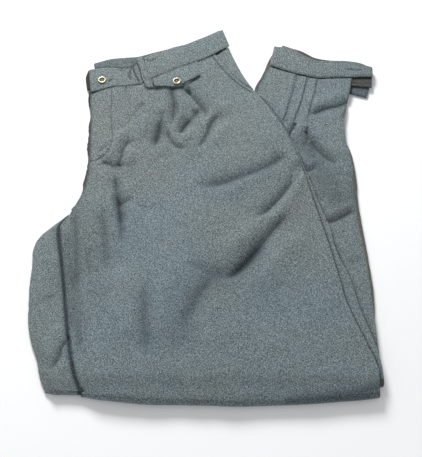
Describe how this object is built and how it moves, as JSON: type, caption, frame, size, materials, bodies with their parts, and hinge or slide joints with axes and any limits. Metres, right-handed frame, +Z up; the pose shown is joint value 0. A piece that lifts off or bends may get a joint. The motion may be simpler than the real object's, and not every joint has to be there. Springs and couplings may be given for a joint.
{
  "type": "gaucho trousers",
  "caption": "Blue-grey melange gaucho trousers folded in half and turned up at the knee, with a pleated waist, ring snaps, coin-pocket flap and tucked ankle cuff.",
  "frame": {"origin": "bottom centre of the bounding box, on the surface that the folded trousers lie on", "axes": "+Z up, +Y towards the waist and the cuffs, +X from the centre front towards the side seam"},
  "size_m": [0.5183, 0.6502, 0.0253],
  "materials": {
    "melange_cloth": "matte",
    "shaded_cloth": "matte",
    "ring_metal": "satin",
    "socket_metal": "satin"
  },
  "bodies": {
    "root": {"left_front": "melange_cloth", "left_back": "melange_cloth", "right_back": "melange_cloth", "right_shin_front": "melange_cloth", "pocket_facing": "melange_cloth", "fly_shield": "shaded_cloth", "waistband_back": "melange_cloth", "waistband_right_end": "shaded_cloth", "waistband_left_front": "melange_cloth", "belt_loop": "melange_cloth", "coin_pocket_flap": "melange_cloth", "cuff_front": "melange_cloth", "cuff_back": "shaded_cloth", "left_cuff": "melange_cloth", "waist_snap_ring": "ring_metal", "waist_snap_socket": "socket_metal", "flap_snap_ring": "ring_metal", "flap_snap_socket": "socket_metal", "folded_layers": "shaded_cloth"}
  },
  "joints": []
}
